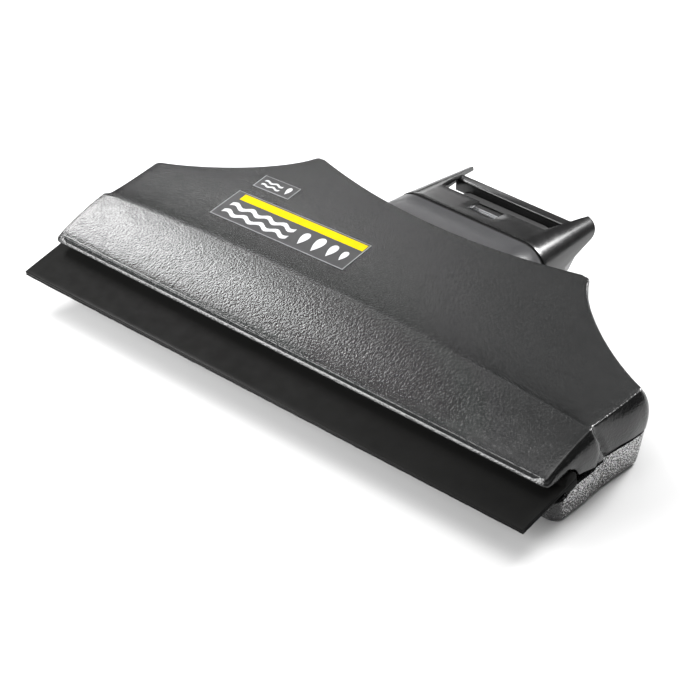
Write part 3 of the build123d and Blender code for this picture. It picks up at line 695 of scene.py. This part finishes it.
def build_shell():
    """Lower shell: drafted wall with two lobes at each end, flat base, counterbored for its screws."""
    columns = column_shares()
    path = side_path(SHELL_FRONT, SHELL_CORNER, SHELL_STEP)
    rows = plan_rows(path, columns, REAR_MIDDLE)
    inner_rows = plan_rows(inset_path(path, WALL + DRAFT, SHELL_FRONT + WALL + DRAFT), columns,
                           REAR_MIDDLE - WALL - DRAFT)
    ring = border(rows)
    loop = [rows[r][c] for r, c in ring]
    normals = outward(loop)

    def level(inset, height, bulge):
        """Ring of the wall at a height, inset from the plan, with its share of the end bulge."""
        moved = plan_rows(inset_path(path, inset, SHELL_FRONT + inset), columns, REAR_MIDDLE - inset)
        ids = []
        for (r, c), start, normal in zip(ring, loop, normals):
            x, depth = moved[r][c]
            swell = bulge * stand_out(*start)
            ids.append(sheet.add(point(x + normal.x * swell, depth + normal.y * swell,
                                       min(height, shell_edge(*start)))))
        return ids

    def outside(height, under=0.0):
        """Ring of the outer wall at a height, inset further round the foot."""
        share = height / SEAM_BOTTOM
        return level(DRAFT * (1 - share) + under, height, SHELL_BULGE * share ** SHELL_POWER)

    sheet = Sheet()
    foot = DRAFT + FOOT_RADIUS
    base = plan_rows(inset_path(path, foot, SHELL_FRONT + foot), columns, REAR_MIDDLE - foot)
    rings = [sheet.grid(base, lambda x, depth: 0.0, {})]
    for angle in map(math.radians, spread(15, 90, 6)):
        rings.append(outside(FOOT_RADIUS * (1 - math.cos(angle)), FOOT_RADIUS * (1 - math.sin(angle))))
    rings += [outside(height) for height in spread(FOOT_RADIUS + 1.2, SEAM_BOTTOM, 11)]
    rings.append(level(WALL, SEAM_BOTTOM, SHELL_BULGE))
    rings.append(level(WALL + DRAFT, WALL + 1.0, 0.0))
    rings.append(sheet.grid(inner_rows, lambda x, depth: WALL, {}))
    sheet.skin(rings)
    shell = new_piece("shell_moulding", sheet.verts, sheet.faces, MATS["shell"], angle=50)
    cut(shell, [cylinder(Vector((x, y, 0.0)), BORE_RADIUS, -1.0, BORE_DEPTH)
                for x, y in screw_places("shell_screws")])
    shade(shell, 50)
    return place(shell, "head", "shell_plastic", "lower_shell")


# ---- cuts and simple solids
def screw_places(node):
    """Plan positions of a node's screws, one for each separate solid."""
    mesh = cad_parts[node].data
    bm = bmesh.new()
    bm.from_mesh(mesh)
    bmesh.ops.remove_doubles(bm, verts=bm.verts, dist=1e-6)
    left, places = set(bm.verts), []
    while left:
        stack = [min(left, key=lambda v: v.index)]
        island = set()
        while stack:
            vert = stack.pop()
            if vert in island:
                continue
            island.add(vert)
            stack += [edge.other_vert(vert) for edge in vert.link_edges]
        left -= island
        xs, ys = [v.co.x for v in island], [v.co.y for v in island]
        places.append(((min(xs) + max(xs)) / 2, (min(ys) + max(ys)) / 2))
    bm.free()
    return sorted(places)


def cylinder(centre, radius, bottom, top, sides=40):
    """Mesh object of an upright cylinder, for cutting; its centre in metres, its sizes in mm."""
    bm = bmesh.new()
    bmesh.ops.create_cone(bm, cap_ends=True, segments=sides, radius1=radius * MM, radius2=radius * MM,
                          depth=(top - bottom) * MM)
    bmesh.ops.translate(bm, verts=bm.verts, vec=centre + Vector((0, 0, (top + bottom) / 2 * MM)))
    mesh = bpy.data.meshes.new("cutter")
    bm.to_mesh(mesh)
    bm.free()
    return add_object("cutter", mesh)


def cut(piece, cutters):
    """Subtracts each cutter, then removes it."""
    for cutter in cutters:
        step = piece.modifiers.new("cut", "BOOLEAN")
        step.operation = "DIFFERENCE"
        step.solver = "EXACT"
        step.object = cutter
    apply_modifiers(piece)
    for cutter in cutters:
        mesh = cutter.data
        bpy.data.objects.remove(cutter)
        bpy.data.meshes.remove(mesh)
    return piece


def prism(name, profile, start, end, mat, place_at):
    """Closed solid from a profile swept between two ends; place_at takes an end and a profile point."""
    count = len(profile)
    verts = [place_at(x, *p) for x in (start, end) for p in profile]
    faces = [tuple(range(count)), tuple(range(2 * count - 1, count - 1, -1))]
    for i in range(count):
        j = (i + 1) % count
        faces.append((i, j, count + j, count + i))
    return new_piece(name, verts, faces, mat, angle=35)


# ---- rubber lips
def lip_point(x, along, up):
    """Place of a point in the tilted plane of the lips."""
    return point(x, LIP_TRIM + along * math.cos(LIP_TILT) - up * math.sin(LIP_TILT),
                 LIP_MID + along * math.sin(LIP_TILT) + up * math.cos(LIP_TILT))


def round_corner(middle, radius, start, end, count):
    """Arc of a profile, in degrees."""
    return [(middle[0] + radius * math.cos(math.radians(a)), middle[1] + radius * math.sin(math.radians(a)))
            for a in spread(start, end, count)]


def lip_profile(side):
    """Blade with a ground tip and a rounded bead; side is 1 above, -1 below."""
    inner, outer, tip = LIP_GAP / 2, LIP_GAP / 2 + LIP_THICKNESS, LIP_CHAMFER
    points = [(tip, inner), (0.0, inner + tip), (0.0, outer - tip), (tip, outer)]
    points += round_corner((BEAD_START - BEAD_FILLET, outer + BEAD_FILLET), BEAD_FILLET, 270, 340, 4)
    points += round_corner((BEAD_START + BEAD_RADIUS, BEAD_TOP - BEAD_RADIUS), BEAD_RADIUS, 165, 90, 6)
    points += round_corner((BEAD_END - BEAD_RADIUS, BEAD_TOP - BEAD_RADIUS), BEAD_RADIUS, 90, 0, 6)
    points.append((BEAD_END, inner))
    return [(along, side * up) for along, up in points]


def build_lips():
    """Two rubber lips with beads, and the row of pads under the lower one."""
    half = LIP_LENGTH / 2
    for name, node, body, side in (("upper_lip_rubber", "upper_wiper_lip", "upper_lip", 1),
                                   ("lower_lip_rubber", "lower_wiper_lip", "lower_lip", -1)):
        lip = prism(name, lip_profile(side), -half, half, MATS["rubber"], lip_point)
        soften(lip, 0.12, 2, 35)
        place(lip, body, "lip_rubber", node)
    count = int(LIP_LENGTH // PAD_PITCH)
    face = -LIP_GAP / 2 - LIP_THICKNESS
    profile = [(PAD_START, face + PAD_SINK), (PAD_START, face - PAD_HEIGHT), (PAD_WIDTH, face - PAD_HEIGHT),
               (PAD_WIDTH, face + PAD_SINK)]
    for n in range(count):
        middle = (n - (count - 1) / 2) * PAD_PITCH
        pad = prism(f"lip_pad_{n + 1}", profile, middle - PAD_LENGTH / 2, middle + PAD_LENGTH / 2,
                    MATS["rubber"], lip_point)
        soften(pad, 0.2, 3, 35)
        place(pad, "lower_lip", "lip_rubber")


# ---- neck and collar
def neck_section(half, bottom, top, radius):
    """Half section from the top centre round to the bottom centre, as (x, z) points."""
    points = [(x, top) for x in spread(0.0, half - radius, 8)]
    points += round_corner((half - radius, top - radius), radius, 90, 0, 15)[1:]
    points += [(half, z) for z in spread(top - radius, bottom + radius, 5)[1:]]
    points += round_corner((half - radius, bottom + radius), radius, 0, -90, 15)[1:]
    points += [(x, bottom) for x in spread(half - radius, 0.0, 8)[1:]]
    return points


def mirrored(points):
    """Closed section from its right half."""
    return points + [(-x, z) for x, z in reversed(points[1:-1])]


def build_sleeve():
    """Neck sleeve: tapering tube with a chamfered rear rim."""
    sheet = Sheet()
    rings = []
    stations = [(SLEEVE_FRONT, 0.0), (SLEEVE_END - 12, 0.0), (SLEEVE_END - RIM_LENGTH, 0.0),
                (SLEEVE_END, RIM_STEP), (SLEEVE_END, WALL), (SLEEVE_FRONT, WALL)]
    for depth, inset in stations:
        section = mirrored(neck_section(NECK_HALF - inset, NECK_BOTTOM + inset, sleeve_top(depth) - inset,
                                        NECK_RADIUS - inset))
        rings.append([sheet.add(point(x, depth, z)) for x, z in section])
    sheet.skin(rings + rings[:1])
    sleeve = new_piece("sleeve_moulding", sheet.verts, sheet.faces, MATS["sleeve"], angle=40)
    return place(sleeve, "head", "cover_plastic", "neck_sleeve")


def collar_size(depth):
    """Half width, top and corner radius of the collar at a depth."""
    share = (depth - COLLAR_FRONT) / (ARM_END - COLLAR_FRONT)
    ends = ((NECK_HALF, ARM_HALF), (SLEEVE_TOP_END, ARM_TOP), (NECK_RADIUS, ARM_RADIUS))
    return tuple(mix(*pair, share) for pair in ends)


def collar_run(depth, share):
    """Point on the collar's half section; share is 0..1 over the window, 1..2 on the arm, 2..3 below."""
    half, top, radius = collar_size(depth)
    window = mix(WINDOW_FRONT_HALF, WINDOW_END_HALF, max((depth - PLATE_END) / (ARM_END - PLATE_END), 0.0))
    # run lengths round the section, from the top centre
    flat = half - radius
    corner = radius * math.pi / 2
    side = top - radius - (NECK_BOTTOM + radius)
    if window <= flat:
        run_window = window
    else:
        run_window = flat + radius * math.asin(min((window - flat) / radius, 1.0))
    under = under_height(depth)
    run_under = flat + corner + (top - radius - under)
    if under > top - radius:
        run_under = flat + radius * math.acos(min((under - top + radius) / radius, 1.0))
    total = 2 * flat + 2 * corner + side
    stops = (0.0, run_window, run_under, total)
    zone = min(int(share), 2)
    run = mix(stops[zone], stops[zone + 1], share - zone)
    if run < flat:
        return (run, top)
    if run < flat + corner:
        angle = (run - flat) / radius
        return (flat + radius * math.sin(angle), top - radius + radius * math.cos(angle))
    if run < flat + corner + side:
        return (half, top - radius - (run - flat - corner))
    if run < flat + 2 * corner + side:
        angle = (run - flat - corner - side) / radius
        return (flat + radius * math.cos(angle), NECK_BOTTOM + radius - radius * math.sin(angle))
    return (total - run, NECK_BOTTOM)


def under_height(depth):
    """Lower edge of the arms, with the rounded end."""
    share = min(max((depth - PLATE_END) / (TIP_START - PLATE_END), 0.0), 1.0)
    straight = mix(RING_END_HEIGHT, ARM_CUT, share)
    if depth <= TIP_START:
        return straight
    share = (depth - TIP_START) / (ARM_END - TIP_START)
    return ARM_CUT + TIP_RISE * (1 - math.sqrt(max(1 - share * share, 0.0)))


def build_collar():
    """Connector collar: ring with a latch notch, and two arms with rounded ends."""
    notch_share = NOTCH_HALF / WINDOW_FRONT_HALF
    shares = [0.0, notch_share * 0.5, notch_share] + spread(notch_share, 1.0, 6)[1:]
    shares += [1 + t for t in spread(0.0, 1.0, 19)[1:]] + [2 + t for t in spread(0.0, 1.0, 15)[1:]]
    notch_start = PLATE_END - NOTCH_DEPTH
    depths = spread(COLLAR_FRONT, notch_start, 4) + spread(notch_start, PLATE_END, 4)[1:]
    depths += spread(PLATE_END, TIP_START, 7)[1:]
    depths += [mix(TIP_START, ARM_END, math.sin(t * math.pi / 2)) for t in spread(0.0, 1.0, 9)[1:]]
    notch, last, under = (shares.index(share) for share in (notch_share, 1.0, 2.0))
    sheet = Sheet()
    rows = []
    for depth in depths:
        section = mirrored([collar_run(depth, share) for share in shares])
        rows.append([sheet.add(point(x, depth, z)) for x, z in section])
    count = len(rows[0])
    for r in range(len(rows) - 1):
        behind_plate = depths[r] >= PLATE_END - 0.01
        in_notch = depths[r] >= notch_start - 0.01
        for c in range(count):
            column = min(c, count - 1 - c)
            if behind_plate and not last <= column < under:
                continue
            if in_notch and column < notch:
                continue
            d = (c + 1) % count
            sheet.faces.append((rows[r][c], rows[r][d], rows[r + 1][d], rows[r + 1][c]))
    collar = new_piece("collar_moulding", sheet.verts, sheet.faces, MATS["collar"], angle=40)
    drop_loose(collar)
    thicken(collar, WALL)
    soften(collar, 0.3, 3, 50)
    place(collar, "head", "collar_plastic", "connector_collar")


def build_crossbar():
    """Bar between the tips of the collar's arms, with a bevelled front."""
    front, low, half = CROSSBAR - BAR_WIDTH, BAR_TOP - BAR_HEIGHT, WINDOW_END_HALF + BAR_OVERLAP
    profile = [(front, low), (front, BAR_TOP - 1.3), (front + 0.4, BAR_TOP - 0.8), (CROSSBAR, BAR_TOP),
               (CROSSBAR, low)]
    bar = prism("collar_bar", profile, -half, half, MATS["collar"], point)
    soften(bar, 0.35, 3, 30)
    place(bar, "head", "collar_plastic")


def build_jaw():
    """Lower jaw of the collar: a shallow trough, open at the top."""
    foot = JAW_BOTTOM_HALF
    right = [(foot - 1.5, NECK_BOTTOM), (foot + 1, NECK_BOTTOM + 1.5), (JAW_TOP_HALF, JAW_TOP),
             (JAW_TOP_HALF - WALL, JAW_TOP), (foot - WALL, NECK_BOTTOM + WALL)]
    jaw = prism("collar_jaw", right + [(-x, z) for x, z in reversed(right)], JAW_START, JAW_END,
                MATS["collar"], lambda depth, x, z: point(x, depth, z))
    soften(jaw, 0.4, 3, 30)
    place(jaw, "head", "collar_plastic")


def drop_loose(piece):
    """Removes points that belong to no face."""
    bm = bmesh.new()
    bm.from_mesh(piece.data)
    bmesh.ops.delete(bm, geom=[v for v in bm.verts if not v.link_faces], context="VERTS")
    bm.to_mesh(piece.data)
    bm.free()


# ---- labels
def on_panel(label, u, v, lift):
    """Place on the panel of a point in a label's own plane."""
    turn = math.radians(label["turn"])
    x = label["x"] + u * math.cos(turn) - v * math.sin(turn)
    depth = label["depth"] + u * math.sin(turn) + v * math.cos(turn)
    return point(x, depth, top_height(x, depth) + lift)


def film(name, label, start, end, lift, mat, thickness=0.1, step=2.0):
    """Rectangle of film laid on the panel, between two corners in the label's plane."""
    columns = max(int(abs(end[0] - start[0]) / step), 1) + 1
    rows = max(int(abs(end[1] - start[1]) / step), 1) + 1
    verts = [on_panel(label, u, v, lift) for v in spread(start[1], end[1], rows)
             for u in spread(start[0], end[0], columns)]
    piece = new_piece(name, verts, grid_faces(rows, columns), mat, angle=50)
    face_up(piece)
    return thicken(piece, thickness)


def face_up(piece):
    """Turns an open sheet so that its faces look up."""
    if sum(polygon.normal.z for polygon in piece.data.polygons) < 0:
        piece.data.flip_normals()


def print_shape(name, label, outlines, lift, mat):
    """Flat printed shapes on the film, each from an outline in the label's plane."""
    verts, faces = [], []
    for outline in outlines:
        first = len(verts)
        verts += [on_panel(label, u, v, lift) for u, v in outline]
        faces.append(tuple(range(first, len(verts))))
    piece = new_piece(name, verts, faces, mat, angle=50)
    face_up(piece)
    return thicken(piece, PRINT_THICKNESS)


def droplet(u, v, size):
    """Outline of a water drop with its point towards the lips."""
    points = []
    for t in spread(0.0, 2 * math.pi, 33)[:-1]:
        points.append((u + size * 0.62 * math.sin(t) * math.sin(t / 2) ** 1.2, v - size * math.cos(t)))
    return points


def waves(start, end, lines, height, width, cycles):
    """Quads of wavy bands between two places, one band at each line."""
    quads, side = [], width / 2
    stops = spread(0.0, 1.0, 8 * cycles + 1)
    for v in lines:
        for a, b in zip(stops, stops[1:]):
            ua, ub = mix(start, end, a), mix(start, end, b)
            va, vb = (v + height * math.sin(2 * math.pi * cycles * t) for t in (a, b))
            quads.append([(ua, va - side), (ub, vb - side), (ub, vb + side), (ua, va + side)])
    return quads


def edge_lines(half_length, half_width, line):
    """Outlines of a thin frame along the edges of a label."""
    a, b = half_length, half_width
    return [
        [(-a, -b), (a, -b), (a, -b + line), (-a, -b + line)],
        [(-a, -b), (-a + line, -b), (-a + line, b), (-a, b)],
        [(a - line, -b), (a, -b), (a, b), (a - line, b)],
        [(-a, b - line * 0.5), (a, b - line * 0.5), (a, b), (-a, b)],
    ]


def strips(outlines, pieces):
    """Cuts long four-sided outlines into shorter ones, so that they follow the panel."""
    parts = []
    for a, b, c, d in outlines:
        for n in range(pieces):
            t, u = n / pieces, (n + 1) / pieces
            near = [tuple(mix(p, q, w) for p, q in zip(a, b)) for w in (t, u)]
            far = [tuple(mix(p, q, w) for p, q in zip(d, c)) for w in (u, t)]
            parts.append(near + far)
    return parts


def build_labels():
    """Clear stickers with a silver edge and print: drops and waves on both, a stripe on the large one."""
    for name, label, half, node in (("main", LARGE_LABEL, LARGE_HALF, "main_label"),
                                    ("small", SMALL_LABEL, SMALL_HALF, "small_label")):
        sheet = film(f"{name}_label_film", label, (-half[0], -half[1]), half, FILM_LIFT, MATS["film"])
        place(sheet, "head", "label_film", node)
        lines = strips(edge_lines(*half, LABEL_EDGE), 24)
        edge = print_shape(f"{name}_label_edge", label, lines, EDGE_LIFT, MATS["border"])
        place(edge, "head", "label_film")
    stripe = film("main_label_stripe", LARGE_LABEL, STRIPE_START, STRIPE_END, PRINT_LIFT, MATS["yellow"],
                  PRINT_THICKNESS)
    place(stripe, "head", "label_film")
    large_print = [droplet(u, DROP_LINE, size) for u, size in DROPS]
    large_print += waves(-34.5, 3.0, (-5.4, 0.2), height=1.1, width=2.4, cycles=4)
    small_print = [droplet(6.4, 0.2, 2.7)] + waves(-7.8, 2.6, (-1.6, 1.2), height=0.5, width=1.1, cycles=2)
    for name, label, outlines in (("main", LARGE_LABEL, large_print), ("small", SMALL_LABEL, small_print)):
        marks = print_shape(f"{name}_label_print", label, outlines, PRINT_LIFT, MATS["white"])
        place(marks, "head", "label_film")


# ---- stage, lights, camera
def build_floor():
    """Pale plain floor."""
    mat, tree, shader = material("floor_white", grey(0.62), 0.75, specular=0.2)
    tone = ranged(tree, noise_node(tree, 3.0, 2.0), 0.0, 1.0)
    tint(tree, shader, tone, grey(0.61), grey(0.63))
    size = 6.0
    corners = [(-size, -size, 0), (size, -size, 0), (size, size, 0), (-size, size, 0)]
    floor = new_piece("floor", [Vector(c) for c in corners], [(0, 1, 2, 3)], mat)


def build_sky():
    """Sky with one bright ring between dark ones, for the reflections."""
    world = bpy.data.worlds.new("studio")
    bpy.context.scene.world = world
    world.use_nodes = True
    tree = world.node_tree
    tree.nodes["Background"].inputs["Strength"].default_value = 1.35
    coordinates = tree.nodes.new("ShaderNodeTexCoord")
    split = tree.nodes.new("ShaderNodeSeparateXYZ")
    ramp = tree.nodes.new("ShaderNodeValToRGB")
    stops = ramp.color_ramp.elements
    stops[0].position, stops[1].position = 0.0, 0.98
    stops[0].color, stops[1].color = (*grey(0.03), 1), (*grey(0.2), 1)
    for position, level in ((0.50, 0.02), (0.60, 0.03), (0.66, 0.75), (0.71, 1.1), (0.76, 0.12)):
        stops.new(position).color = (*grey(level), 1)
    tree.links.new(coordinates.outputs["Generated"], split.inputs["Vector"])
    tree.links.new(split.outputs["Z"], ramp.inputs["Fac"])
    tree.links.new(ramp.outputs["Color"], tree.nodes["Background"].inputs["Color"])


def softbox(name, place_at, aim, width, height, power):
    """Rectangular lamp; places and sizes in metres, power in watts."""
    light = bpy.data.lights.new(name, "AREA")
    light.shape = "RECTANGLE"
    light.size, light.size_y = width, height
    light.energy = power
    lamp = add_object(name, light)
    lamp.location = place_at
    direction = Vector(aim) - Vector(place_at)
    lamp.rotation_euler = direction.to_track_quat("-Z", "Y").to_euler()


def build_lamps():
    """Six softboxes round the head and over it."""
    softbox("key_back_left", (-0.66, 0.08, 0.62), (-0.05, -0.06, 0.02), 0.40, 0.19, 6.2)
    softbox("back_panel", (-0.60, 0.42, 0.66), (-0.05, 0.0, 0.02), 0.34, 0.12, 0.45)
    softbox("front_left", (-0.43, -0.72, 0.34), (0.0, -0.07, 0.02), 0.58, 0.56, 16.0)
    softbox("back_right", (0.135, 0.275, 0.235), (0.04, 0.08, 0.02), 0.10, 0.13, 1.9)
    softbox("low_back", (-0.84, 0.96, 0.38), (-0.05, 0.06, 0.02), 0.34, 0.20, 1.0)
    softbox("overhead", (0.10, -0.15, 1.50), (0.0, 0.0, 0.0), 1.2, 1.0, 12.0)


def build_camera():
    """Camera fitted to the photograph."""
    azimuth, elevation, distance = math.radians(40.86), math.radians(35.0), 1.063
    aim = point(17.9, 39.1, 25.4)
    back = Vector((math.sin(azimuth) * math.cos(elevation), -math.cos(azimuth) * math.cos(elevation),
                   math.sin(elevation)))
    camera = bpy.data.cameras.new("camera")
    camera.sensor_width = 36.0
    camera.lens = 130.0
    viewer = add_object("camera", camera)
    viewer.location = aim + back * distance
    viewer.rotation_euler = (-back).to_track_quat("-Z", "Y").to_euler()
    bpy.context.scene.camera = viewer
    bpy.context.scene.view_settings.view_transform = "Standard"


def finish_cad_nodes():
    """Materials of the CAD nodes, also of those that a piece replaces."""
    finishes = {
        "cover": ("upper_cover", "neck_sleeve"),
        "shell": ("lower_shell",),
        "collar": ("connector_collar",),
        "duct": ("upper_lip_rail", "lower_lip_rail", "air_channel_plate", "suction_spigot"),
        "rubber": ("upper_wiper_lip", "lower_wiper_lip"),
        "seal": ("seam_gasket", "neck_seal_ring", "flange_gasket", "spigot_seal"),
        "keeper": ("latch_keeper",),
        "screw": ("shell_screws", "collar_screws"),
        "film": ("main_label", "small_label"),
    }
    for finish, nodes in finishes.items():
        for node in nodes:
            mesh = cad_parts[node].data
            mesh.materials.clear()
            mesh.materials.append(MATS[finish])


finish_cad_nodes()
build_cover()
build_shell()
build_lips()
build_sleeve()
build_collar()
build_crossbar()
build_jaw()
build_labels()
build_floor()
build_sky()
build_lamps()
build_camera()
